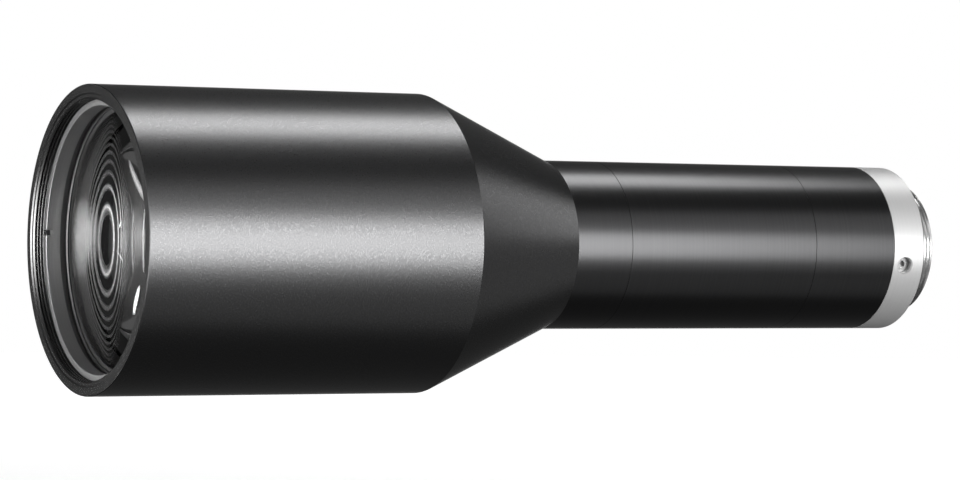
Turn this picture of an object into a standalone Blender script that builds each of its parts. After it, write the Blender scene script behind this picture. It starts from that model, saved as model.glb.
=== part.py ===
"""Telecentric lens for a machine-vision camera, with a screw-in C-mount.

Everything is turned about one optical axis, which lies along world X with the
glass towards -X. The origin is on the axis, in the flange face that seats on
the camera. Lengths are in metres.

Along the axis a place is given as a depth behind the front rim. Each turned
piece has its outline as (depth, radius) points: down its outside from front to
rear, then back up its bore. Local +Z of a piece points out of the front, so a
depth is minus its local Z.
"""
import math

import bmesh
import bpy
from mathutils import Matrix

# Casing, from the front rim to the end of the mount thread
barrel_diameter = 0.0560
barrel_length = 0.0659
cone_length = 0.0268
tube_diameter = 0.0321
neck_length = 0.0117
middle_tube_length = 0.0415
rear_tube_length = 0.0183
mount_ring_length = 0.0074
mount_thread_diameter = 0.0254
mount_thread_length = 0.00405

# Walls and joints of the casing
barrel_wall = 0.0027
cone_wall = 0.0025
neck_wall = 0.0034
tube_wall = 0.0041
socket_wall = 0.00175
joint_length = 0.0070
spigot_lead = 0.0005
rim_chamfer = 0.0003
cone_step_count = 6

# Clearance between pieces that touch or screw together
seat = 0.0003

# Front glass group and what holds it
front_ring_depth = 0.0027
ring_lip_length = 0.0026
ring_lip_width = 0.0011
ring_skirt_length = 0.0011
ring_skirt_width = 0.0005
front_slot_width = 0.0010
front_slot_depth = 0.0012
front_slot_angle = math.radians(86.7)
edge_land = 0.0016
front_glass_edge = 0.0030
front_glass_crown = 0.00276
front_glass_back_crown = 0.00472
inner_glass_edge = 0.0050
inner_glass_hollow = 0.0010
inner_glass_back_hollow = 0.0014
barrel_shoulder_inset = 0.0039
barrel_shoulder_width = 0.0024

# Light traps: fine grooves in the sleeve behind the front glass, and a baffle in the cone
trap_length = 0.0230
trap_wall = 0.00115
trap_groove_pitch = 0.000795
trap_groove_depth = 0.0005
trap_end_band = 0.0005
baffle_step_count = 3
baffle_thickness = 0.0010
baffle_web = 0.0060

# Aperture stop, held inside the middle tube
stop_seat_depth = 0.0153
stop_bore_widening = 0.0006
stop_ledge = 0.0018
stop_thickness = 0.0010
stop_hole_diameter = 0.0060
stop_ring_length = 0.0022
stop_ring_width = 0.0022
stop_slot_width = 0.0010
stop_slot_depth = 0.0008

# Rear glass group, loaded from the camera side
rear_cell_wall = 0.0017
rear_shoulder_length = 0.0031
rear_edge_land = 0.0012
first_glass_edge = 0.0030
first_glass_front_crown = 0.0012
first_glass_back_crown = 0.0018
first_spacer_length = 0.0030
second_glass_edge = 0.0034
second_glass_front_hollow = 0.0010
second_glass_back_hollow = 0.0008
second_spacer_length = 0.0046
third_glass_edge = 0.0032
third_glass_front_crown = 0.0012
third_glass_back_crown = 0.0004
third_spacer_length = 0.0024
fourth_glass_edge = 0.0026
fourth_glass_front_crown = 0.0011
fourth_glass_back_crown = 0.0003
rear_ring_length = 0.0025
rear_ring_width = 0.0022
rear_slot_width = 0.0010
rear_slot_depth = 0.0010

# C-mount ring, clamped on the rear tube by three set screws
mount_spigot_length = 0.0050
mount_bore_wall = 0.0015
mount_chamfer = 0.0005
thread_relief_length = 0.0008
thread_relief_depth = 0.0005
thread_lead = 0.0004
screw_count = 3
screw_diameter = 0.0030
screw_inset = 0.00275
screw_sink = 0.0004
screw_groove_depth = 0.0005
screw_groove_width = 0.0024
screw_point_length = 0.0007
screw_point_diameter = 0.0013
screw_key_size = 0.0013
screw_key_depth = 0.0009
first_screw_angle = math.radians(-102.5)

# Facets round each turned piece, and along each polished surface
casing_steps = 40
glass_steps = 32
small_steps = 24
screw_steps = 16
surface_points = 4

# Radii of the casing
barrel_radius = barrel_diameter / 2
tube_radius = tube_diameter / 2
barrel_bore = barrel_radius - barrel_wall
socket_radius = tube_radius - socket_wall
spigot_radius = socket_radius - seat
tube_bore = tube_radius - tube_wall
mount_thread_radius = mount_thread_diameter / 2
mount_bore = mount_thread_radius - mount_bore_wall

# Depths of the casing's joints behind the front rim
cone_end = barrel_length + cone_length
neck_end = cone_end + neck_length
middle_end = neck_end + middle_tube_length
rear_end = middle_end + rear_tube_length
flange_depth = rear_end + mount_ring_length
thread_end = flange_depth + mount_thread_length


def clear_scene():
    """Start from an empty scene."""
    for thing in list(bpy.data.objects):
        bpy.data.objects.remove(thing)


def new_collection(name):
    """Make a collection in the scene and return it."""
    collection = bpy.data.collections.new(name)
    bpy.context.scene.collection.children.link(collection)
    return collection


def material(name, colour, roughness, metallic=0.0, transmission=0.0):
    """Plain Principled material for one piece."""
    made = bpy.data.materials.new(name)
    made.use_nodes = True
    shader = made.node_tree.nodes["Principled BSDF"]
    shader.inputs["Base Color"].default_value = (*colour, 1.0)
    shader.inputs["Roughness"].default_value = roughness
    shader.inputs["Metallic"].default_value = metallic
    shader.inputs["Transmission Weight"].default_value = transmission
    return made


def anodised(name):
    """Bead-blasted aluminium, anodised black."""
    return material(name, (0.030, 0.030, 0.031), 0.38, 0.55)


def blackened(name):
    """Inner metal with a dull black finish."""
    return material(name, (0.012, 0.012, 0.012), 0.70)


def coated_glass(name):
    """Clear optical glass."""
    return material(name, (0.93, 0.95, 0.96), 0.02, transmission=1.0)


def turned(name, outline, steps, finish, closed=True):
    """Turn a piece from its outline of (depth, radius) points.

    A closed outline is a ring. An open one starts and ends on the axis.
    """
    mesh = bpy.data.meshes.new(name)
    profile = bmesh.new()
    points = [profile.verts.new((radius, 0.0, -depth)) for depth, radius in outline]
    for here, there in zip(points, points[1:]):
        profile.edges.new((here, there))
    if closed:
        profile.edges.new((points[-1], points[0]))
    profile.to_mesh(mesh)
    profile.free()

    piece = bpy.data.objects.new(name, mesh)
    lens.objects.link(piece)
    piece.parent = axis
    screw = piece.modifiers.new("turn", "SCREW")
    screw.axis = "Z"
    screw.angle = math.tau
    screw.steps = steps
    screw.render_steps = steps
    screw.use_merge_vertices = True
    screw.merge_threshold = 0.00001
    bake(piece)
    piece.data.materials.append(finish(name))
    return piece


def bake(piece):
    """Keep what the modifiers make as the piece's mesh, smooth between sharp edges."""
    bpy.context.view_layer.update()
    depsgraph = bpy.context.evaluated_depsgraph_get()
    solid = bpy.data.meshes.new_from_object(piece.evaluated_get(depsgraph))
    piece.modifiers.clear()
    piece.data = solid
    solid.name = piece.name
    solid.shade_smooth()
    solid.set_sharp_from_angle(angle=math.radians(28))


def cut(piece, cutter):
    """Subtract a cutter from a piece."""
    for collection in list(cutter.users_collection):
        collection.objects.unlink(cutter)
    cutters.objects.link(cutter)
    cutter.hide_render = True
    cutter.display_type = "WIRE"
    boolean = piece.modifiers.new(cutter.name, "BOOLEAN")
    boolean.operation = "DIFFERENCE"
    boolean.solver = "EXACT"
    boolean.object = cutter


def spanner_slots(piece, face_depth, slot_depth, slot_width, angle=0.0):
    """Cut two opposite slots for a spanner in a ring's face."""
    bpy.ops.mesh.primitive_cube_add(size=1.0)
    cutter = bpy.context.object
    cutter.name = piece.name + "_slots"
    cutter.data.transform(Matrix.Diagonal((barrel_diameter, slot_width, 2 * slot_depth, 1.0)))
    cutter.parent = axis
    cutter.location = (0.0, 0.0, -face_depth)
    cutter.rotation_euler = (0.0, 0.0, angle)
    cut(piece, cutter)


def face(depth, rim_radius, crown, outer_radius):
    """Half a polished face, from the axis to its ground edge land.

    Crown is how far the middle stands ahead of the rim, towards the front, and
    is negative where the middle lies behind the rim.
    """
    sphere = (rim_radius ** 2 + crown ** 2) / (2 * crown)
    full_angle = math.asin(rim_radius / abs(sphere))
    points = []
    for step in range(surface_points + 1):
        angle = full_angle * step / surface_points
        drop = sphere * (1 - math.cos(angle))
        points.append((depth - crown + drop, abs(sphere) * math.sin(angle)))
    points.append((depth, outer_radius))
    return points


def glass(name, depth, edge, radius, land, front_crown, back_crown, steps):
    """Lens with its edge starting at a depth; a crown is positive towards the front."""
    front = face(depth, radius - land, front_crown, radius)
    back = face(depth + edge, radius - land, back_crown, radius)
    return turned(name, front + back[::-1], steps, coated_glass, closed=False)


def ring(name, depth, length, radius, width, steps, finish=blackened):
    """Plain ring between two depths."""
    outline = [
        (depth, radius),
        (depth + length, radius),
        (depth + length, radius - width),
        (depth, radius - width),
    ]
    return turned(name, outline, steps, finish)


clear_scene()
lens = new_collection("telecentric_lens")
cutters = new_collection("cutters")
axis = bpy.data.objects.new("optical_axis", None)
axis.location = (-flange_depth, 0.0, 0.0)
axis.rotation_euler = (0.0, -math.pi / 2, 0.0)
lens.objects.link(axis)

# Front barrel: the wide barrel, its cone and the neck, turned from one bar
barrel_shoulder = barrel_length - barrel_shoulder_inset
shoulder_bore = barrel_bore - barrel_shoulder_width
cone_slope = (barrel_radius - tube_radius) / cone_length
cone_wall_across = cone_wall * math.hypot(1.0, cone_slope)
neck_bore = tube_radius - neck_wall
neck_socket = neck_end - joint_length - seat


def cone_bore(depth):
    """Largest bore that leaves the cone its wall at a depth."""
    return barrel_radius - cone_slope * (depth - barrel_length) - cone_wall_across


steps_start = barrel_length + (barrel_radius - cone_wall_across - shoulder_bore) / cone_slope
steps_end = barrel_length + (barrel_radius - cone_wall_across - neck_bore) / cone_slope
step_length = (steps_end - steps_start) / cone_step_count

barrel_outline = [
    (rim_chamfer, barrel_radius),
    (barrel_length, barrel_radius),
    (cone_end, tube_radius),
    (neck_end, tube_radius),
    (neck_end, socket_radius),
    (neck_socket, socket_radius),
    (neck_socket, neck_bore),
]
for index in reversed(range(cone_step_count)):
    step_front = steps_start + index * step_length
    step_bore = cone_bore(step_front + step_length)
    if index < cone_step_count - 1:
        barrel_outline.append((step_front + step_length, step_bore))
    barrel_outline.append((step_front, step_bore))
barrel_outline += [
    (steps_start, shoulder_bore),
    (barrel_shoulder, shoulder_bore),
    (barrel_shoulder, barrel_bore),
    (0.0, barrel_bore),
    (0.0, barrel_radius - rim_chamfer),
]
turned("front_barrel", barrel_outline, casing_steps, anodised)

# Retaining ring: a lip that shows and a skirt that presses on the glass
cell_radius = barrel_bore - seat
ring_skirt_depth = front_ring_depth + ring_lip_length
ring_end = ring_skirt_depth + ring_skirt_length
front_ring = turned("front_retaining_ring", [
    (front_ring_depth, cell_radius),
    (ring_end, cell_radius),
    (ring_end, cell_radius - ring_skirt_width),
    (ring_skirt_depth, cell_radius - ring_skirt_width),
    (ring_skirt_depth, cell_radius - ring_lip_width),
    (front_ring_depth, cell_radius - ring_lip_width),
], casing_steps, blackened)
spanner_slots(front_ring, front_ring_depth, front_slot_depth, front_slot_width, front_slot_angle)

# Front glass group: two lenses, the grooved sleeve that spaces them and traps stray
# light, and the plain sleeve that bears on the barrel's shoulder
front_glass_depth = ring_end + seat
trap_depth = front_glass_depth + front_glass_edge + seat
inner_glass_depth = trap_depth + trap_length + seat
inner_spacer_depth = inner_glass_depth + inner_glass_edge + seat
inner_spacer_length = barrel_shoulder - seat - inner_spacer_depth
glass("front_lens", front_glass_depth, front_glass_edge, cell_radius, edge_land,
      front_glass_crown, -front_glass_back_crown, glass_steps)
glass("front_inner_lens", inner_glass_depth, inner_glass_edge, cell_radius, edge_land,
      -inner_glass_hollow, inner_glass_back_hollow, glass_steps)
ring("inner_spacer", inner_spacer_depth, inner_spacer_length, cell_radius, edge_land, glass_steps)

trap_end = trap_depth + trap_length
trap_crest = cell_radius - trap_wall
trap_groove_count = int((trap_length - 2 * trap_end_band) / trap_groove_pitch)
groove_start = (trap_depth + trap_end - trap_groove_count * trap_groove_pitch) / 2
trap_outline = [(trap_depth, cell_radius), (trap_end, cell_radius), (trap_end, trap_crest)]
for index in reversed(range(trap_groove_count)):
    groove = groove_start + index * trap_groove_pitch
    trap_outline.append((groove + trap_groove_pitch, trap_crest))
    trap_outline.append((groove + trap_groove_pitch / 2, trap_crest + trap_groove_depth))
trap_outline += [(groove_start, trap_crest), (trap_depth, trap_crest)]
turned("light_trap_sleeve", trap_outline, glass_steps, blackened)

# Baffle: a thin plate on one of the ledges of the cone
baffle_rear = steps_start + baffle_step_count * step_length - seat
baffle_radius = cone_bore(baffle_rear + seat) - seat
ring("cone_baffle", baffle_rear - baffle_thickness, baffle_thickness, baffle_radius,
     baffle_web, glass_steps)

# Middle tube: screws into the neck and carries the aperture stop
middle_front = neck_socket + seat
middle_socket = middle_end - joint_length - seat
stop_bore = tube_bore + stop_bore_widening
stop_seat = neck_end + stop_seat_depth
turned("middle_tube", [
    (middle_front, spigot_radius - spigot_lead),
    (middle_front + spigot_lead, spigot_radius),
    (neck_end + seat, spigot_radius),
    (neck_end + seat, tube_radius),
    (middle_end, tube_radius),
    (middle_end, socket_radius),
    (middle_socket, socket_radius),
    (middle_socket, tube_bore),
    (stop_seat + stop_ledge, tube_bore),
    (stop_seat, tube_bore - stop_ledge),
    (stop_seat, stop_bore),
    (middle_front, stop_bore),
], casing_steps, anodised)

# Aperture stop and the ring that holds it on its ledge
stop_radius = stop_bore - seat
stop_hole = stop_hole_diameter / 2
stop_front = stop_seat - seat - stop_thickness
stop_knife = stop_thickness / 2
turned("aperture_stop", [
    (stop_front, stop_radius),
    (stop_front + stop_thickness, stop_radius),
    (stop_front + stop_thickness, stop_hole + stop_knife),
    (stop_front + stop_knife / 2, stop_hole),
    (stop_front, stop_hole),
], small_steps, blackened)
stop_ring_front = stop_front - seat - stop_ring_length
stop_ring = ring("stop_retaining_ring", stop_ring_front, stop_ring_length, stop_radius,
                 stop_ring_width, small_steps)
spanner_slots(stop_ring, stop_ring_front, stop_slot_depth, stop_slot_width)

# Rear tube: screws into the middle tube, holds the rear glass and ends in the mount spigot
rear_front = middle_socket + seat
cell_bore = spigot_radius - rear_cell_wall
rear_cell = cell_bore - seat
rear_shoulder = rear_front + rear_shoulder_length
spigot_end = rear_end + mount_spigot_length
screw_depth = rear_end + screw_inset
groove_half = screw_groove_width / 2
turned("rear_tube", [
    (rear_front, spigot_radius - spigot_lead),
    (rear_front + spigot_lead, spigot_radius),
    (middle_end + seat, spigot_radius),
    (middle_end + seat, tube_radius),
    (rear_end, tube_radius),
    (rear_end, spigot_radius),
    (screw_depth - groove_half, spigot_radius),
    (screw_depth - groove_half + screw_groove_depth, spigot_radius - screw_groove_depth),
    (screw_depth + groove_half - screw_groove_depth, spigot_radius - screw_groove_depth),
    (screw_depth + groove_half, spigot_radius),
    (spigot_end, spigot_radius),
    (spigot_end, cell_bore),
    (rear_shoulder, cell_bore),
    (rear_shoulder, rear_cell - rear_edge_land),
    (rear_front, rear_cell - rear_edge_land),
], casing_steps, anodised)

# Rear glass group: four lenses, three spacers, and the ring behind them
rear_stack = [
    ("rear_lens_1", first_glass_edge, first_glass_front_crown, -first_glass_back_crown),
    ("rear_spacer_1", first_spacer_length),
    ("rear_lens_2", second_glass_edge, -second_glass_front_hollow, second_glass_back_hollow),
    ("rear_spacer_2", second_spacer_length),
    ("rear_lens_3", third_glass_edge, third_glass_front_crown, -third_glass_back_crown),
    ("rear_spacer_3", third_spacer_length),
    ("rear_lens_4", fourth_glass_edge, fourth_glass_front_crown, -fourth_glass_back_crown),
]
depth = rear_shoulder + seat
for name, length, *crowns in rear_stack:
    if crowns:
        glass(name, depth, length, rear_cell, rear_edge_land, *crowns, small_steps)
    else:
        ring(name, depth, length, rear_cell, rear_edge_land, small_steps)
    depth += length + seat
rear_ring = ring("rear_retaining_ring", depth, rear_ring_length, rear_cell, rear_ring_width,
                 small_steps)
spanner_slots(rear_ring, depth + rear_ring_length, rear_slot_depth, rear_slot_width)

# C-mount ring: slides over the rear spigot, its face seats on the camera
mount_front = rear_end + seat
mount_step = spigot_end + seat
relief_end = flange_depth + thread_relief_length
relief_radius = mount_thread_radius - thread_relief_depth
mount = turned("c_mount", [
    (mount_front, tube_radius),
    (flange_depth - mount_chamfer, tube_radius),
    (flange_depth, tube_radius - mount_chamfer),
    (flange_depth, mount_thread_radius + seat),
    (relief_end, relief_radius),
    (relief_end + thread_relief_depth, mount_thread_radius),
    (thread_end - thread_lead, mount_thread_radius),
    (thread_end, mount_thread_radius - thread_lead),
    (thread_end, mount_bore),
    (mount_step, mount_bore),
    (mount_step, socket_radius),
    (mount_front, socket_radius),
], casing_steps, lambda name: material(name, (0.78, 0.78, 0.79), 0.26, 1.0))

# Set screws: they sit in the groove of the rear spigot and hold the mount at any angle
screw_radius = screw_diameter / 2 - seat
screw_floor = spigot_radius - screw_groove_depth + seat
screw_top = tube_radius - screw_sink
for index in range(screw_count):
    turn = first_screw_angle + index * math.tau / screw_count
    name = f"mount_set_screw_{index + 1}"

    bpy.ops.mesh.primitive_cylinder_add(radius=screw_diameter / 2, depth=tube_radius,
                                        vertices=screw_steps)
    hole = bpy.context.object
    hole.name = f"c_mount_hole_{index + 1}"
    hole.parent = axis
    hole.location = (tube_radius * math.cos(turn), tube_radius * math.sin(turn), -screw_depth)
    hole.rotation_euler = (0.0, math.pi / 2, turn)
    cut(mount, hole)

    screw = turned(name, [
        (-screw_top, 0.0),
        (-screw_top, screw_radius),
        (-screw_floor - screw_point_length, screw_radius),
        (-screw_floor, screw_point_diameter / 2),
        (-screw_floor, 0.0),
    ], screw_steps, lambda name: material(name, (0.55, 0.55, 0.56), 0.30, 1.0), closed=False)
    screw.location = (0.0, 0.0, -screw_depth)
    screw.rotation_euler = (0.0, math.pi / 2, turn)

    bpy.ops.mesh.primitive_cylinder_add(radius=screw_key_size / math.sqrt(3),
                                        depth=2 * screw_key_depth, vertices=6)
    key = bpy.context.object
    key.name = name + "_key"
    key.parent = axis
    key.location = (screw_top * math.cos(turn), screw_top * math.sin(turn), -screw_depth)
    key.rotation_euler = (0.0, math.pi / 2, turn)
    cut(screw, key)
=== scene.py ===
"""Looks of the telecentric lens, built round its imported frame.

Everything is turned about one optical axis along world X, with the glass towards -X.
Outlines are (depth behind the front rim, radius) in millimetres.
"""

import math

import bpy
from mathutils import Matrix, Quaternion, Vector


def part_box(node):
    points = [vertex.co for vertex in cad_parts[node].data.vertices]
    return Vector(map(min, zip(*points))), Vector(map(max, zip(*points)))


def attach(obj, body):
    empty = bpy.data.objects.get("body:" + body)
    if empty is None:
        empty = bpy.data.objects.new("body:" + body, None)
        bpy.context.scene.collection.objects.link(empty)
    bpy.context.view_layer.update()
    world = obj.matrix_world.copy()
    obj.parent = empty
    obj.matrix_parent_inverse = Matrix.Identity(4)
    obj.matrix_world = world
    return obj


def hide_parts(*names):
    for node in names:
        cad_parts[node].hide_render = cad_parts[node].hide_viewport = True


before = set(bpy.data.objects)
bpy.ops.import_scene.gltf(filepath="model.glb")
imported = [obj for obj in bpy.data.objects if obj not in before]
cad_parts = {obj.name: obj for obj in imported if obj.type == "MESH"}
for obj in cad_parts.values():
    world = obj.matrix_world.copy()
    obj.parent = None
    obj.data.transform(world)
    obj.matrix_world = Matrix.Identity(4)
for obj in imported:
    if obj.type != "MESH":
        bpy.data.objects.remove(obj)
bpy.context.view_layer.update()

# Camera: the photograph's viewpoint, level with the axis and 29 degrees off square, towards
# the glass. It was fitted to the rim, the cone, the seams and the mount.
camera_data = bpy.data.cameras.new("camera")
camera_data.sensor_width = 36.0
camera_data.lens = 144.23
camera_data.clip_start = 0.01
camera = bpy.data.objects.new("camera", camera_data)
bpy.context.scene.collection.objects.link(camera)
camera.location = (-0.44141, -0.63649, -0.00243)
camera.rotation_euler = [math.radians(angle) for angle in (90.252, -0.458, -28.819)]
bpy.context.scene.camera = camera

# Front barrel: the wide barrel, its cone and the neck, turned from one bar of aluminium,
# bead-blasted and anodised black. The rim carries a fine thread for a filter or hood.
millimetre = 0.001
front_rim_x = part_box("front_barrel")[0][0]


def turn(name, outline, steps=192):
    """Turn a piece: a circle is extruded and scaled from point to point of its outline.

    An outline that ends where it starts makes a ring. Otherwise both ends are closed.
    """
    bpy.ops.object.select_all(action="DESELECT")
    depth, radius = outline[0]
    bpy.ops.mesh.primitive_circle_add(
        vertices=steps, radius=radius * millimetre, rotation=(0.0, math.pi / 2, 0.0),
        location=(front_rim_x + depth * millimetre, 0.0, 0.0))
    piece = bpy.context.object
    piece.name = name
    piece.data.name = name
    bpy.ops.object.transform_apply()
    bpy.ops.object.mode_set(mode="EDIT")
    bpy.ops.mesh.select_all(action="SELECT")
    for next_depth, next_radius in outline[1:]:
        shift = (next_depth - depth) * millimetre
        bpy.ops.mesh.extrude_edges_move(TRANSFORM_OT_translate={"value": (shift, 0.0, 0.0)})
        growth = next_radius / radius
        middle = (front_rim_x + next_depth * millimetre, 0.0, 0.0)
        bpy.ops.transform.resize(value=(1.0, growth, growth), center_override=middle)
        depth, radius = next_depth, next_radius
    bpy.ops.mesh.select_all(action="SELECT")
    bpy.ops.mesh.remove_doubles(threshold=0.000001)
    if outline[0] != outline[-1]:
        bpy.ops.mesh.select_all(action="DESELECT")
        bpy.ops.mesh.select_mode(type="EDGE")
        bpy.ops.mesh.select_non_manifold()
        bpy.ops.mesh.edge_face_add()
        bpy.ops.mesh.select_mode(type="FACE")
        bpy.ops.mesh.poke()
    bpy.ops.mesh.select_all(action="SELECT")
    bpy.ops.mesh.normals_make_consistent(inside=False)
    bpy.ops.object.mode_set(mode="OBJECT")
    bpy.ops.object.shade_smooth_by_angle(angle=math.radians(12))
    return piece


rim_radius = 28.0
rim_chamfer = 0.12
barrel_end = 65.9
edge_break = 0.1
edge_drop = 0.07
cone_end = 92.7
tube_radius = 16.05
neck_end = 104.4
seam_chamfer = 0.05
socket_radius = 14.3
joint_length = 7.0
joint_gap = 0.3
neck_bore = 12.65
cone_bore_end = 88.0
cone_bore_bend = 71.9
bend_bore = 20.9
cone_bore_start = 67.9
shoulder_bore = 22.9
barrel_shoulder = 62.0
barrel_bore = 25.3
rim_thread_start = 0.42
rim_thread_pitch = 0.58
rim_thread_depth = 0.30
rim_thread_turns = 3
rim_step = 0.22
step_width = 0.85
step_mouth = 1.10

barrel_outline = [
    (0.0, rim_radius - rim_chamfer),
    (rim_chamfer, rim_radius),
    (barrel_end - edge_break, rim_radius),
    (barrel_end + edge_break, rim_radius - edge_drop),
    (cone_end, tube_radius),
    (neck_end - seam_chamfer, tube_radius),
    (neck_end, tube_radius - seam_chamfer),
    (neck_end, socket_radius),
    (neck_end - joint_length - joint_gap, socket_radius),
    (neck_end - joint_length - joint_gap, neck_bore),
    (cone_bore_end, neck_bore),
    (cone_bore_bend, bend_bore),
    (cone_bore_start, shoulder_bore),
    (barrel_shoulder, shoulder_bore),
    (barrel_shoulder, barrel_bore),
]
# Each turn of the rim's thread, with its groove set out in shares of the pitch
for index in reversed(range(rim_thread_turns)):
    crest = rim_thread_start + index * rim_thread_pitch
    barrel_outline += [
        (crest + rim_thread_pitch, barrel_bore),
        (crest + rim_thread_pitch * 0.62, barrel_bore + rim_thread_depth),
        (crest + rim_thread_pitch * 0.50, barrel_bore + rim_thread_depth),
        (crest + rim_thread_pitch * 0.12, barrel_bore),
    ]
barrel_outline += [
    (rim_thread_start, barrel_bore),
    (rim_step, barrel_bore + rim_thread_depth),
    (rim_step, barrel_bore + step_width),
    (0.0, barrel_bore + step_mouth),
    (0.0, rim_radius - rim_chamfer),
]
barrel = turn("barrel", barrel_outline, steps=256)


def new_group(name, inputs, outputs):
    """Empty shader node group with its named sockets, its nodes, its links and both ends."""
    group = bpy.data.node_groups.new(name, "ShaderNodeTree")
    for label, kind in inputs:
        group.interface.new_socket(label, in_out="INPUT", socket_type=kind)
    for label, kind in outputs:
        group.interface.new_socket(label, in_out="OUTPUT", socket_type=kind)
    start = group.nodes.new("NodeGroupInput")
    end = group.nodes.new("NodeGroupOutput")
    return group, group.nodes, group.links, start, end


# Fine pits that bead-blasting leaves: a height for the bump and flecks for the colour
blasted, nodes, links, start, end = new_group(
    "blasted_grain",
    [("Place", "NodeSocketVector"), ("Grains per metre", "NodeSocketFloat")],
    [("Height", "NodeSocketFloat"), ("Flecks", "NodeSocketFloat")])
pits = nodes.new("ShaderNodeTexNoise")
pits.inputs["Detail"].default_value = 2.0
pits.inputs["Roughness"].default_value = 0.6
links.new(start.outputs["Place"], pits.inputs["Vector"])
links.new(start.outputs["Grains per metre"], pits.inputs["Scale"])
links.new(pits.outputs["Fac"], end.inputs["Height"])
flecks = nodes.new("ShaderNodeMapRange")
flecks.inputs["From Min"].default_value = 0.38
flecks.inputs["From Max"].default_value = 0.66
links.new(pits.outputs["Fac"], flecks.inputs["Value"])
links.new(flecks.outputs["Result"], end.inputs["Flecks"])


def new_finish(name, colour, roughness, metallic=0.0):
    """Material with its Principled shader and the piece's own Object coordinates."""
    made = bpy.data.materials.new(name)
    made.use_nodes = True
    shader = made.node_tree.nodes["Principled BSDF"]
    shader.inputs["Base Color"].default_value = (*colour, 1.0)
    shader.inputs["Roughness"].default_value = roughness
    shader.inputs["Metallic"].default_value = metallic
    place = made.node_tree.nodes.new("ShaderNodeTexCoord").outputs["Object"]
    return made, made.node_tree.nodes, made.node_tree.links, shader, place


def add_group(nodes, links, group, place, **values):
    """Place a group in a material, fed with the piece's coordinates and its own values."""
    used = nodes.new("ShaderNodeGroup")
    used.node_tree = group
    links.new(place, used.inputs["Place"])
    for label, value in values.items():
        used.inputs[label.replace("_", " ")].default_value = value
    return used


def spread(nodes, links, mask, low, high, socket):
    """Feed a socket with a mask stretched from a low to a high value."""
    stretch = nodes.new("ShaderNodeMapRange")
    stretch.inputs["To Min"].default_value = low
    stretch.inputs["To Max"].default_value = high
    links.new(mask, stretch.inputs["Value"])
    links.new(stretch.outputs["Result"], socket)


def tint(nodes, links, mask, dark, light, socket):
    """Feed a colour socket with a mix of two colours by a mask."""
    mix = nodes.new("ShaderNodeMix")
    mix.data_type = "RGBA"
    mix.inputs["A"].default_value = (*dark, 1.0)
    mix.inputs["B"].default_value = (*light, 1.0)
    links.new(mask, mix.inputs["Factor"])
    links.new(mix.outputs["Result"], socket)


def roughen(nodes, links, height, distance, shader):
    """Bump the shader's normal by a height."""
    bump = nodes.new("ShaderNodeBump")
    bump.inputs["Distance"].default_value = distance
    links.new(height, bump.inputs["Height"])
    links.new(bump.outputs["Normal"], shader.inputs["Normal"])


anodised, nodes, links, shader, place = new_finish("blasted_anodised", (0.05, 0.05, 0.05), 0.36, 1.0)
grain = add_group(nodes, links, blasted, place, Grains_per_metre=4000.0)
tint(nodes, links, grain.outputs["Flecks"], (0.065, 0.065, 0.066), (0.085, 0.085, 0.086),
     shader.inputs["Base Color"])
spread(nodes, links, grain.outputs["Flecks"], 0.32, 0.27, shader.inputs["Roughness"])
roughen(nodes, links, grain.outputs["Height"], 0.000016, shader)
barrel.data.materials.append(anodised)

# The rim's thread is cut fine and smooth, so its flanks shine in lines. The thread and the rim's face
# are painted lighter than the barrel: a painted sheen in place of a lamp on the rim.
rim_sheen_and_lead_shade, nodes, links, shader, place = new_finish("cut_thread_sheen_and_shade", (0.12, 0.12, 0.12), 0.26, 1.0)
cut_marks = add_group(nodes, links, blasted, place, Grains_per_metre=1400.0)
tint(nodes, links, cut_marks.outputs["Flecks"], (0.115, 0.115, 0.115), (0.14, 0.14, 0.14),
     shader.inputs["Base Color"])
barrel.data.materials.append(rim_sheen_and_lead_shade)
rim_sheen_paint_end = 2.6
thread_rear_x = front_rim_x + rim_sheen_paint_end * millimetre
# The rim's face and thread take the lighter paint, a painted sheen
for polygon in barrel.data.polygons:
    x, y, z = polygon.center
    if x < thread_rear_x and math.hypot(y, z) < (rim_radius - rim_chamfer) * millimetre:
        polygon.material_index = 1

# Fine rings that a lathe tool leaves on a turned face
lathe_marks, nodes, links, start, end = new_group(
    "lathe_marks",
    [("Place", "NodeSocketVector"), ("Marks per metre", "NodeSocketFloat")],
    [("Height", "NodeSocketFloat"), ("Radius", "NodeSocketFloat")])
split = nodes.new("ShaderNodeSeparateXYZ")
links.new(start.outputs["Place"], split.inputs["Vector"])
flat = nodes.new("ShaderNodeCombineXYZ")
links.new(split.outputs["Y"], flat.inputs["Y"])
links.new(split.outputs["Z"], flat.inputs["Z"])
radius = nodes.new("ShaderNodeVectorMath")
radius.operation = "LENGTH"
links.new(flat.outputs["Vector"], radius.inputs[0])
links.new(radius.outputs["Value"], end.inputs["Radius"])
along = nodes.new("ShaderNodeCombineXYZ")
links.new(split.outputs["X"], along.inputs["X"])
links.new(radius.outputs["Value"], along.inputs["Y"])
marks = nodes.new("ShaderNodeTexNoise")
marks.inputs["Detail"].default_value = 3.0
links.new(along.outputs["Vector"], marks.inputs["Vector"])
links.new(start.outputs["Marks per metre"], marks.inputs["Scale"])
links.new(marks.outputs["Fac"], end.inputs["Height"])

# The neck is turned and anodised without blasting, as the tubes behind it are
turned_black, nodes, links, shader, place = new_finish("turned_anodised", (0.05, 0.05, 0.05), 0.28, 1.0)
tube_marks = add_group(nodes, links, lathe_marks, place, Marks_per_metre=2500.0)
tint(nodes, links, tube_marks.outputs["Height"], (0.041, 0.041, 0.042), (0.058, 0.058, 0.059),
     shader.inputs["Base Color"])
roughen(nodes, links, tube_marks.outputs["Height"], 0.000006, shader)
barrel.data.materials.append(turned_black)
neck_skin_radius = 15.5
neck_front_x = front_rim_x + cone_end * millimetre
for polygon in barrel.data.polygons:
    x, y, z = polygon.center
    if x > neck_front_x and math.hypot(y, z) > neck_skin_radius * millimetre:
        polygon.material_index = 2
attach(barrel, "root")
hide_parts("front_barrel")

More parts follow.
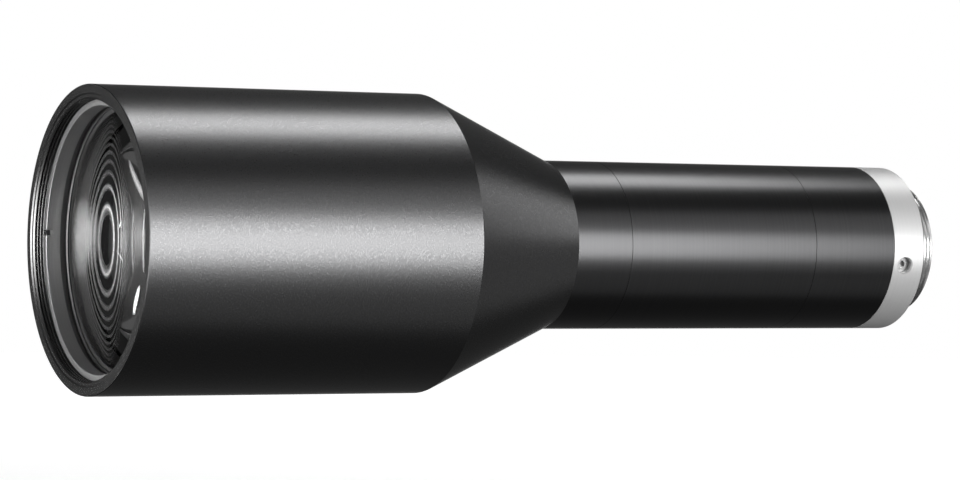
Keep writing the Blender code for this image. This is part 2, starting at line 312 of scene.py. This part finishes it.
# Front retaining ring: turned aluminium, blackened, screwed in behind the rim's thread on to
# the front glass. Its skirt is undercut, and a spanner fits its two slots.
lip_front = 2.25
lip_end = 5.0
skirt_end = 6.6
lip_radius = 24.15
skirt_radius = 25.0
ring_edge = 0.08
slip_fit = 0.03
bead_front = 6.33
bead_radius = 24.25
bead_bevel = 0.23
bevel_length = 0.75 * bead_bevel
slot_width = 1.0
slot_depth = 1.2
slot_angle = math.radians(86.7)
slot_bar_length = 60.0

retaining_ring = turn("glass_retaining_ring", [
    (lip_front, lip_radius + ring_edge),
    (lip_front, barrel_bore - slip_fit),
    (skirt_end, barrel_bore - slip_fit),
    (skirt_end, bead_radius),
    (bead_front + bevel_length, bead_radius),
    (bead_front, bead_radius + bead_bevel),
    (bead_front, skirt_radius),
    (lip_end, skirt_radius),
    (lip_end, lip_radius),
    (lip_front + ring_edge, lip_radius),
    (lip_front, lip_radius + ring_edge),
], steps=256)


def cut(piece, cutter):
    """Take a cutter's shape out of a piece, and clear the cutter away."""
    cutting = piece.modifiers.new("cut", "BOOLEAN")
    cutting.operation = "DIFFERENCE"
    cutting.solver = "EXACT"
    cutting.object = cutter
    bpy.ops.object.select_all(action="DESELECT")
    bpy.context.view_layer.objects.active = piece
    piece.select_set(True)
    bpy.ops.object.modifier_apply(modifier="cut")
    bpy.data.objects.remove(cutter)


# Both spanner slots are milled in one pass of a bar across the face
bpy.ops.object.select_all(action="DESELECT")
bpy.ops.mesh.primitive_cube_add(
    size=1.0, location=(front_rim_x + lip_front * millimetre, 0.0, 0.0),
    rotation=(-slot_angle, 0.0, 0.0))
slot_bar = bpy.context.object
slot_bar.scale = (2 * slot_depth * millimetre, slot_width * millimetre, slot_bar_length * millimetre)
cut(retaining_ring, slot_bar)

ring_black, nodes, links, shader, place = new_finish("ring_black", (0.10, 0.10, 0.10), 0.50, 0.88)
turned_face = add_group(nodes, links, lathe_marks, place, Marks_per_metre=6000.0)
tint(nodes, links, turned_face.outputs["Height"], (0.38, 0.38, 0.38), (0.50, 0.50, 0.50),
     shader.inputs["Base Color"])
roughen(nodes, links, turned_face.outputs["Height"], 0.000008, shader)
retaining_ring.data.materials.append(ring_black)

# Behind its lip the ring is painted darker: painted shade where the lip shadows its skirt and bead
skirt_painted_shade, nodes, links, shader, place = new_finish("skirt_painted_shade", (0.26, 0.26, 0.26), 0.50, 0.88)
turned_skirt = add_group(nodes, links, lathe_marks, place, Marks_per_metre=6000.0)
tint(nodes, links, turned_skirt.outputs["Height"], (0.20, 0.20, 0.20), (0.27, 0.27, 0.27),
     shader.inputs["Base Color"])
retaining_ring.data.materials.append(skirt_painted_shade)
face_margin = 0.01
lip_end_x = front_rim_x + (lip_end - face_margin) * millimetre
# Faces behind the lip take the darker paint, a painted shade
for polygon in retaining_ring.data.polygons:
    if polygon.center.x > lip_end_x:
        polygon.material_index = 1
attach(retaining_ring, "root")
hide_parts("front_retaining_ring")

# Front lens: crown glass, ground and polished on both faces, coated against reflections.
# It rests by its edge on the sleeve behind it.
cell_radius = 25.25
glass_aperture = 23.4
front_glass_depth = 6.7
front_glass_edge = 3.0
front_glass_crown = 2.763
front_glass_back_crown = 4.719
glass_bevel = 0.15


def surface(depth, aperture, crown, rings=20):
    """Half a polished face from near the axis out to its ground edge."""
    sphere = (aperture ** 2 + crown ** 2) / (2 * crown)
    full_angle = math.asin(aperture / abs(sphere))
    points = []
    for index in range(1, rings + 1):
        angle = full_angle * index / rings
        points.append((depth - crown + sphere * (1 - math.cos(angle)),
                       abs(sphere) * math.sin(angle)))
    return points


def lens(name, depth, edge, radius, aperture, front_crown, back_crown):
    """Lens with its edge starting at a depth; a crown is positive towards the front.

    The first material is for the polished faces and the second for the ground edge.
    """
    front = surface(depth, aperture, front_crown)
    back = surface(depth + edge, aperture, back_crown)
    rim = [
        (depth + glass_bevel, aperture + glass_bevel),
        (depth + glass_bevel, radius),
        (depth + edge - glass_bevel, radius),
        (depth + edge, radius - glass_bevel),
    ]
    made = turn(name, front + rim + back[::-1], steps=256)
    made.data.materials.append(optical_glass)
    made.data.materials.append(ground_edge)
    for polygon in made.data.polygons:
        x, y, z = polygon.center
        if math.hypot(y, z) > aperture * millimetre:
            polygon.material_index = 1
    return made


optical_glass, nodes, links, shader, place = new_finish("coated_glass", (1.0, 1.0, 1.0), 0.0)
shader.inputs["Transmission Weight"].default_value = 1.0
shader.inputs["IOR"].default_value = 1.52
shader.inputs["Specular IOR Level"].default_value = 0.08

# Ground edges of the lenses, inked black against stray light
ground_edge, nodes, links, shader, place = new_finish("ground_edge", (0.1, 0.1, 0.1), 0.55)
frosting = add_group(nodes, links, blasted, place, Grains_per_metre=4000.0)
tint(nodes, links, frosting.outputs["Flecks"], (0.045, 0.045, 0.045), (0.09, 0.09, 0.09),
     shader.inputs["Base Color"])

front_glass = lens("front_glass", front_glass_depth, front_glass_edge, cell_radius,
                   glass_aperture, front_glass_crown, -front_glass_back_crown)
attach(front_glass, "root")
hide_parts("front_lens")

# Light trap sleeve: it spaces the two front lenses and is threaded all along its bore, so
# that stray light is broken up. Its thread is painted near white on top and near black in
# the grooves: painted glints on the thread's tops and painted shade between them.
trap_front = 9.75
trap_end = 33.25
trap_pitch = 0.795
trap_crest_depth = 24.352
trap_crest = 23.85
trap_root = 24.35
trap_edge = 0.17
trap_plain_end = 0.6
first_turn = math.ceil((trap_front + trap_plain_end - trap_crest_depth) / trap_pitch)
last_turn = math.floor((trap_end - trap_plain_end - trap_crest_depth) / trap_pitch)
trap_outline = [
    (trap_front, trap_crest),
    (trap_front, cell_radius),
    (trap_end, cell_radius),
    (trap_end, trap_crest),
]
# One turn, from its rear flank over the rounded crest to the root: shares of the pitch, radii
turn_shape = [
    (0.21, trap_crest + trap_edge),
    (0.10, trap_crest + trap_edge * 0.25),
    (0.05, trap_crest),
    (-0.05, trap_crest),
    (-0.10, trap_crest + trap_edge * 0.25),
    (-0.21, trap_crest + trap_edge),
    (-0.45, trap_root),
    (-0.55, trap_root),
]
for index in reversed(range(first_turn, last_turn + 1)):
    crest = trap_crest_depth + index * trap_pitch
    for share, radius in turn_shape:
        trap_outline.append((crest + trap_pitch * share, radius))
trap_outline.append((trap_front, trap_crest))
sleeve = turn("threaded_sleeve", trap_outline, steps=256)

threaded, nodes, links, shader, place = new_finish("threaded_black", (0.2, 0.2, 0.2), 0.24, 1.0)
turned_bore = add_group(nodes, links, lathe_marks, place, Marks_per_metre=9000.0)
# Painted glint and painted shade: near white on the thread's tops, near black down in its grooves
crest_glint_mask = nodes.new("ShaderNodeMapRange")
crest_glint_mask.inputs["From Min"].default_value = (trap_crest + trap_edge * 1.4) * millimetre
crest_glint_mask.inputs["From Max"].default_value = (trap_crest + trap_edge) * millimetre
links.new(turned_bore.outputs["Radius"], crest_glint_mask.inputs["Value"])
tint(nodes, links, crest_glint_mask.outputs["Result"], (0.02, 0.02, 0.02), (0.8, 0.8, 0.8),
     shader.inputs["Base Color"])
roughen(nodes, links, turned_bore.outputs["Height"], 0.000006, shader)
sleeve.data.materials.append(threaded)
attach(sleeve, "root")
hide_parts("light_trap_sleeve")

# Inner lens of the front group: coated glass too, hollow on both faces. The plain spacer
# behind it, turned and blackened, bears on the barrel's shoulder.
inner_glass_depth = 33.3
inner_glass_edge = 5.0
inner_glass_hollow = 1.0
inner_glass_back_hollow = 1.4
inner_glass = lens("inner_glass", inner_glass_depth, inner_glass_edge, cell_radius,
                   glass_aperture, -inner_glass_hollow, inner_glass_back_hollow)
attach(inner_glass, "root")
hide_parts("front_inner_lens")

spacer_front = 38.35
spacer_end = barrel_shoulder - 0.05
spacer_chamfer = 0.2
spacer = turn("front_spacer_sleeve", [
    (spacer_front, glass_aperture + spacer_chamfer),
    (spacer_front, cell_radius - spacer_chamfer),
    (spacer_front + spacer_chamfer, cell_radius),
    (spacer_end - spacer_chamfer, cell_radius),
    (spacer_end, cell_radius - spacer_chamfer),
    (spacer_end, glass_aperture + spacer_chamfer),
    (spacer_end - spacer_chamfer, glass_aperture),
    (spacer_front + spacer_chamfer, glass_aperture),
    (spacer_front, glass_aperture + spacer_chamfer),
], steps=128)

dull_black, nodes, links, shader, place = new_finish("dull_black", (0.012, 0.012, 0.012), 0.7)
coat = add_group(nodes, links, blasted, place, Grains_per_metre=3000.0)
tint(nodes, links, coat.outputs["Flecks"], (0.009, 0.009, 0.009), (0.018, 0.018, 0.018),
     shader.inputs["Base Color"])
roughen(nodes, links, coat.outputs["Height"], 0.00001, shader)
spacer.data.materials.append(dull_black)
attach(spacer, "root")
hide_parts("inner_spacer")

# Middle tube: it screws into the neck and carries the aperture stop. The tubes are turned
# and anodised without blasting, so fine marks run round them.
middle_end = 145.9
seam_gap = 0.02
spigot_radius = 14.25
spigot_lead = 0.5
tube_bore = 11.95
stop_bore = 12.55
stop_seat = 119.7
stop_ledge = 1.8
middle_front = neck_end - joint_length
middle_seam = neck_end + seam_gap
middle_socket = middle_end - joint_length - joint_gap
middle_tube = turn("middle_tube_shell", [
    (middle_seam, tube_radius - seam_chamfer),
    (middle_seam + seam_chamfer, tube_radius),
    (middle_end - seam_chamfer, tube_radius),
    (middle_end, tube_radius - seam_chamfer),
    (middle_end, socket_radius),
    (middle_socket, socket_radius),
    (middle_socket, tube_bore),
    (stop_seat + stop_ledge, tube_bore),
    (stop_seat, tube_bore - stop_ledge),
    (stop_seat, stop_bore),
    (middle_front, stop_bore),
    (middle_front, spigot_radius - spigot_lead),
    (middle_front + spigot_lead, spigot_radius),
    (middle_seam, spigot_radius),
    (middle_seam, tube_radius - seam_chamfer),
])
middle_tube.data.materials.append(turned_black)
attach(middle_tube, "root")
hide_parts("middle_tube")

# Rear tube: aluminium, turned and anodised black. It screws into the middle tube, holds the
# four rear lenses and ends in a grooved spigot for the mount.
rear_end = 164.2
spigot_end = 169.2
cell_bore = 12.3
cell_ledge = 1.5
rear_front = middle_end - joint_length
rear_shoulder = 142.0
rear_seam = middle_end + seam_gap
screw_depth = 166.95
groove_half = 1.2
groove_depth = 0.5
rear_tube = turn("rear_tube_shell", [
    (rear_seam, tube_radius - seam_chamfer),
    (rear_seam + seam_chamfer, tube_radius),
    (rear_end - seam_chamfer, tube_radius),
    (rear_end, tube_radius - seam_chamfer),
    (rear_end, spigot_radius),
    (screw_depth - groove_half, spigot_radius),
    (screw_depth - groove_half + groove_depth, spigot_radius - groove_depth),
    (screw_depth + groove_half - groove_depth, spigot_radius - groove_depth),
    (screw_depth + groove_half, spigot_radius),
    (spigot_end, spigot_radius),
    (spigot_end, cell_bore),
    (rear_shoulder, cell_bore),
    (rear_shoulder, cell_bore - cell_ledge),
    (rear_front, cell_bore - cell_ledge),
    (rear_front, spigot_radius - spigot_lead),
    (rear_front + spigot_lead, spigot_radius),
    (rear_seam, spigot_radius),
    (rear_seam, tube_radius - seam_chamfer),
])
rear_tube.data.materials.append(turned_black)
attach(rear_tube, "root")
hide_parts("rear_tube")

# C-mount ring: turned aluminium left silver, clamped on the rear tube by three set screws.
# Its thread is 1 inch across with 32 turns to the inch, and its flange seats on the camera.
mount_seam = rear_end + seam_gap
flange_depth = 171.6
flange_chamfer = 0.5
thread_radius = 12.7
thread_end = 175.65
thread_pitch = 0.794
thread_depth = 0.45
thread_turns = 4
thread_lead = 0.2
relief_start = 0.3
relief_depth = 0.5
relief_end = flange_depth + 0.8
mount_bore = 11.2
bore_chamfer = 0.15
mount_step = spigot_end + joint_gap
mount_outline = [
    (mount_seam, tube_radius - seam_chamfer),
    (mount_seam + seam_chamfer, tube_radius),
    (flange_depth - flange_chamfer, tube_radius),
    (flange_depth, tube_radius - flange_chamfer),
    (flange_depth, thread_radius + relief_start),
    (flange_depth + relief_depth, thread_radius - relief_depth),
    (relief_end, thread_radius - relief_depth),
]
# Each turn of the mount's thread, with its crest set out in shares of the pitch
for index in range(thread_turns):
    root = relief_end + index * thread_pitch
    mount_outline += [
        (root + thread_pitch * 0.40, thread_radius),
        (root + thread_pitch * 0.55, thread_radius),
        (root + thread_pitch * 0.95, thread_radius - thread_depth),
    ]
# The last crest runs full width to the thread's lead
mount_outline = mount_outline[:-1] + [
    (thread_end - thread_lead, thread_radius),
    (thread_end, thread_radius - thread_lead),
    (thread_end, mount_bore + bore_chamfer),
    (thread_end - bore_chamfer, mount_bore),
    (mount_step, mount_bore),
    (mount_step, spigot_radius + slip_fit),
    (mount_seam, spigot_radius + slip_fit),
    (mount_seam, tube_radius - seam_chamfer),
]
mount = turn("c_mount_ring", mount_outline)

# Three holes for the set screws are drilled through its side and countersunk
screw_hole_radius = 1.55
drill_middle = 16.0
drill_length = 6.0
countersink = 0.25
first_screw_angle = math.radians(-102.5)
screw_angles = [first_screw_angle + index * math.tau / 3 for index in range(3)]
for angle in screw_angles:
    outwards = Vector((0.0, math.sin(angle), math.cos(angle)))
    axis_point = Vector((front_rim_x + screw_depth * millimetre, 0.0, 0.0))
    bpy.ops.object.select_all(action="DESELECT")
    bpy.ops.mesh.primitive_cylinder_add(
        vertices=48, radius=screw_hole_radius * millimetre, depth=drill_length * millimetre,
        location=axis_point + outwards * drill_middle * millimetre, rotation=(-angle, 0.0, 0.0))
    drill = bpy.context.object
    bpy.ops.mesh.primitive_cone_add(
        vertices=48, radius1=screw_hole_radius * millimetre,
        radius2=(screw_hole_radius + 2 * countersink) * millimetre,
        depth=2 * countersink * millimetre,
        location=axis_point + outwards * tube_radius * millimetre, rotation=(-angle, 0.0, 0.0))
    countersink_bit = bpy.context.object
    cut(mount, drill)
    cut(mount, countersink_bit)

silver, nodes, links, shader, place = new_finish("silver_turned", (0.5, 0.5, 0.5), 0.40, 0.52)
mount_marks = add_group(nodes, links, lathe_marks, place, Marks_per_metre=4000.0)
tint(nodes, links, mount_marks.outputs["Height"], (0.44, 0.44, 0.44), (0.52, 0.52, 0.52),
     shader.inputs["Base Color"])
roughen(nodes, links, mount_marks.outputs["Height"], 0.000006, shader)
mount.data.materials.append(silver)

# Its thread and the edge of its flange are cut bright, and mirror the room. The lead is painted
# dark, a painted shade along the thread's end.
cut_silver, nodes, links, shader, place = new_finish("cut_silver", (0.6, 0.6, 0.6), 0.22, 1.0)
edge_marks = add_group(nodes, links, lathe_marks, place, Marks_per_metre=4000.0)
tint(nodes, links, edge_marks.outputs["Height"], (0.56, 0.56, 0.56), (0.68, 0.68, 0.68),
     shader.inputs["Base Color"])
mount.data.materials.append(cut_silver)
mount.data.materials.append(rim_sheen_and_lead_shade)
edge_front_x = front_rim_x + (flange_depth - flange_chamfer) * millimetre
lead_front_x = front_rim_x + (thread_end - thread_lead) * millimetre
for polygon in mount.data.polygons:
    x, y, z = polygon.center
    if x > edge_front_x:
        polygon.material_index = 1
    # The lead takes the dark paint: a painted shade line at the thread's end
    if x > lead_front_x and math.hypot(y, z) > (thread_radius - thread_lead) * millimetre:
        polygon.material_index = 2
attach(mount, "root")
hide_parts("c_mount")

# Set screws: steel, with a blunt point and a hexagon socket. They grip the rear tube's groove,
# so that the mount can be turned to suit the camera.
screw_radius = 1.5
screw_top = 14.8
point_start = 14.65
point_end = 13.8
point_radius = 0.65
key_radius = 0.75
key_depth = 0.75
steel, nodes, links, shader, place = new_finish("screw_steel", (0.5, 0.5, 0.5), 0.28, 1.0)
screw_marks = add_group(nodes, links, blasted, place, Grains_per_metre=5000.0)
tint(nodes, links, screw_marks.outputs["Flecks"], (0.42, 0.42, 0.42), (0.60, 0.60, 0.60),
     shader.inputs["Base Color"])
for number, angle in enumerate(screw_angles, start=1):
    outwards = Vector((0.0, math.sin(angle), math.cos(angle)))
    axis_point = Vector((front_rim_x + screw_depth * millimetre, 0.0, 0.0))
    bpy.ops.object.select_all(action="DESELECT")
    bpy.ops.mesh.primitive_cylinder_add(
        vertices=48, radius=screw_radius * millimetre, depth=(screw_top - point_start) * millimetre,
        location=axis_point + outwards * (screw_top + point_start) / 2 * millimetre,
        rotation=(-angle, 0.0, 0.0))
    screw = bpy.context.object
    screw.name = f"set_screw_{number}"
    bpy.ops.object.transform_apply()
    bpy.ops.object.mode_set(mode="EDIT")
    bpy.ops.mesh.select_mode(type="FACE")
    bpy.ops.mesh.select_all(action="DESELECT")
    bpy.ops.object.mode_set(mode="OBJECT")
    for polygon in screw.data.polygons:
        polygon.select = polygon.normal.dot(outwards) < -0.9
    bpy.ops.object.mode_set(mode="EDIT")
    inwards = outwards * (point_end - point_start) * millimetre
    bpy.ops.mesh.extrude_region_move(TRANSFORM_OT_translate={"value": inwards})
    narrowing = point_radius / screw_radius
    bpy.ops.transform.resize(value=(narrowing, narrowing, narrowing),
                             center_override=axis_point + outwards * point_end * millimetre)
    bpy.ops.object.mode_set(mode="OBJECT")
    bpy.ops.mesh.primitive_cylinder_add(
        vertices=6, radius=key_radius * millimetre, depth=2 * key_depth * millimetre,
        location=axis_point + outwards * screw_top * millimetre, rotation=(-angle, 0.0, 0.0))
    cut(screw, bpy.context.object)
    bpy.ops.object.shade_smooth_by_angle(angle=math.radians(30))
    screw.data.materials.append(steel)
    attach(screw, "root")
    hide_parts(f"mount_set_screw_{number}")

# Pieces sealed inside are kept as the frame has them: baffle, stop, spacers and rings are
# blackened metal, and the four rear lenses are coated glass.
blackened_nodes = ["cone_baffle", "aperture_stop", "stop_retaining_ring", "rear_spacer_1",
                   "rear_spacer_2", "rear_spacer_3", "rear_retaining_ring"]
for node in blackened_nodes:
    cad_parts[node].data.materials[0] = dull_black
for node in ["rear_lens_1", "rear_lens_2", "rear_lens_3", "rear_lens_4"]:
    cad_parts[node].data.materials[0] = optical_glass

# Studio: a pale floor below the lens, which takes its shadow and grows whiter further out.
# Mirrors and lamps don't see it.
floor_middle = (-0.085, 0.0, -0.052)
bpy.ops.object.select_all(action="DESELECT")
bpy.ops.mesh.primitive_circle_add(vertices=96, radius=1.2, fill_type="NGON",
                                  location=floor_middle)
floor = bpy.context.object
floor.name = "floor"
floor.visible_diffuse = False
floor.visible_glossy = False
floor.visible_transmission = False
floor.visible_shadow = False
bpy.ops.object.transform_apply()
floor_paint, nodes, links, shader, place = new_finish("floor_paint", (0.5, 0.5, 0.5), 0.8)
shader.inputs["Specular IOR Level"].default_value = 0.0
centred = nodes.new("ShaderNodeVectorMath")
centred.operation = "DISTANCE"
centred.inputs[1].default_value = floor_middle
links.new(place, centred.inputs[0])
glow = nodes.new("ShaderNodeMapRange")
glow.inputs["From Min"].default_value = 0.05
glow.inputs["From Max"].default_value = 0.60
glow.inputs["To Min"].default_value = 0.50
glow.inputs["To Max"].default_value = 1.0
links.new(centred.outputs["Value"], glow.inputs["Value"])
floor_rays = nodes.new("ShaderNodeLightPath")
seen_floor = nodes.new("ShaderNodeMath")
seen_floor.operation = "MULTIPLY"
links.new(floor_rays.outputs["Is Camera Ray"], seen_floor.inputs[0])
links.new(glow.outputs["Result"], seen_floor.inputs[1])
shader.inputs["Emission Color"].default_value = (1.0, 1.0, 1.0, 1.0)
links.new(seen_floor.outputs["Value"], shader.inputs["Emission Strength"])
floor.data.materials.append(floor_paint)

# World: white as the camera sees it. Metal and glass mirror a white backdrop, which stands
# in one fixed direction behind the lens, in a room that is otherwise dim.
world = bpy.data.worlds.new("studio")
bpy.context.scene.world = world
world.use_nodes = True
nodes, links = world.node_tree.nodes, world.node_tree.links
room = nodes["Background"]
room.inputs["Color"].default_value = (0.08, 0.08, 0.08, 1.0)
white = nodes.new("ShaderNodeBackground")
white.inputs["Color"].default_value = (1.0, 1.0, 1.0, 1.0)
rays = nodes.new("ShaderNodeLightPath")
direction = nodes.new("ShaderNodeTexCoord")
facing = nodes.new("ShaderNodeVectorMath")
facing.operation = "DOT_PRODUCT"
backdrop_heading = (0.482, 0.876, 0.0)
facing.inputs[1].default_value = backdrop_heading
links.new(direction.outputs["Generated"], facing.inputs[0])
behind = nodes.new("ShaderNodeMapRange")
behind.inputs["From Min"].default_value = 0.88
behind.inputs["From Max"].default_value = 0.97
links.new(facing.outputs["Value"], behind.inputs["Value"])
heights = nodes.new("ShaderNodeSeparateXYZ")
links.new(direction.outputs["Generated"], heights.inputs["Vector"])
height = nodes.new("ShaderNodeMath")
height.operation = "ABSOLUTE"
links.new(heights.outputs["Z"], height.inputs[0])
low = nodes.new("ShaderNodeMapRange")
low.inputs["From Min"].default_value = 0.25
low.inputs["From Max"].default_value = 0.08
links.new(height.outputs["Value"], low.inputs["Value"])
backdrop = nodes.new("ShaderNodeMath")
backdrop.operation = "MULTIPLY"
links.new(behind.outputs["Result"], backdrop.inputs[0])
links.new(low.outputs["Result"], backdrop.inputs[1])
mirrored = nodes.new("ShaderNodeMath")
mirrored.operation = "MAXIMUM"
links.new(rays.outputs["Is Glossy Ray"], mirrored.inputs[0])
links.new(rays.outputs["Is Transmission Ray"], mirrored.inputs[1])
seen = nodes.new("ShaderNodeMath")
seen.operation = "MULTIPLY"
links.new(mirrored.outputs["Value"], seen.inputs[0])
links.new(backdrop.outputs["Value"], seen.inputs[1])
shown = nodes.new("ShaderNodeMath")
shown.operation = "MAXIMUM"
links.new(rays.outputs["Is Camera Ray"], shown.inputs[0])
links.new(seen.outputs["Value"], shown.inputs[1])
mix = nodes.new("ShaderNodeMixShader")
links.new(shown.outputs["Value"], mix.inputs["Fac"])
links.new(room.outputs["Background"], mix.inputs[1])
links.new(white.outputs["Background"], mix.inputs[2])
links.new(mix.outputs["Shader"], nodes["World Output"].inputs["Surface"])


def lamp(name, place, target, width, height, power, roll=0.0):
    """Soft rectangular lamp at a place, turned towards a target and rolled by degrees."""
    data = bpy.data.lights.new(name, "AREA")
    data.shape = "RECTANGLE"
    data.size = width
    data.size_y = height
    data.energy = power
    made = bpy.data.objects.new(name, data)
    bpy.context.scene.collection.objects.link(made)
    made.location = place
    aim = (Vector(target) - Vector(place)).to_track_quat("-Z", "Y")
    made.rotation_euler = (aim @ Quaternion((0.0, 0.0, 1.0), math.radians(roll))).to_euler()
    return data


# Lamps round the lens: the key and the fills light its near side, the top strip its upper edge
middle = (-0.085, 0.0, 0.0)
key = lamp("key_strip", (0.165, -0.80, 0.0), middle, 0.56, 0.44, 4.2)
key.spread = math.radians(130)
lamp("key_fill", (0.20, -0.90, -0.04), middle, 0.90, 1.00, 1.6)
lamp("upper_fill", (0.35, -0.72, 0.48), middle, 0.90, 0.30, 0.80)
lamp("lower_fill", (0.35, -0.62, -0.74), middle, 0.90, 0.45, 0.42)
top = lamp("top_strip", (0.045, 0.035, 0.55), middle, 0.19, 0.52, 1.42)
top.spread = math.radians(130)
lamp("cone_lamp", (0.66, -0.085, 0.22), middle, 0.30, 0.34, 0.7)
lamp("cone_fill", (0.66, -0.12, -0.15), middle, 0.35, 0.55, 0.21)

# Lamps in front: their nested sizes fade softly where the glass mirrors them
glass_middle = (-0.165, 0.0, 0.0)


def glint(name, place, length, thickness, power, roll):
    """Soft streak mirrored in the glass: ellipses behind each other, each one thinner."""
    for step, share in enumerate((1.0, 0.65, 0.3)):
        back = 0.002 * step
        behind_last = (place[0] - back, place[1] + back, place[2])
        ellipse = lamp(f"{name}_{step}", behind_last, glass_middle, length * (1.0 - 0.12 * step),
                       thickness * share, power * share, roll)
        ellipse.shape = "ELLIPSE"


nested_sizes = 6
for step in range(nested_sizes):
    share = 1.0 - step / nested_sizes
    ahead = lamp(f"front_lamp_{step}", (-0.80 - 0.002 * step, -0.11, -0.035), glass_middle,
                 0.28 + 0.20 * share, 0.58 * share, 1.04 * share * (0.7 + 0.5 * share))
    ahead.shape = "ELLIPSE"
    aside = lamp(f"front_side_{step}", (-0.80 - 0.002 * step, 0.11, -0.035), glass_middle,
                 0.14 * (1.0 + share), 0.46 * share, 0.18 * share * (1.0 + share))
    aside.shape = "ELLIPSE"
    soft = lamp(f"soft_glint_{step}", (-0.474 - 0.002 * step, 0.514, 0.0), glass_middle,
                0.14 * share, 0.14 * share, 0.008 * share ** 2)
    soft.shape = "ELLIPSE"
lamp("front_fill", (-0.84, -0.20, -0.01), glass_middle, 0.46, 0.62, 1.2)
glint("upper_glint", (-0.5239, 0.4746, 0.078), 0.150, 0.013, 0.0088, -23.0)
glint("lower_glint", (-0.5156, 0.4807, -0.081), 0.060, 0.012, 0.0125, 37.0)
glint("streak_glint", (-0.5173, 0.4839, 0.0), 0.088, 0.010, 0.0021, 90.0)
side = lamp("side_glint", (-0.554, 0.451, -0.003), glass_middle, 0.120, 0.007, 0.009, roll=90.0)
side.shape = "ELLIPSE"

bpy.context.scene.view_settings.view_transform = "Standard"
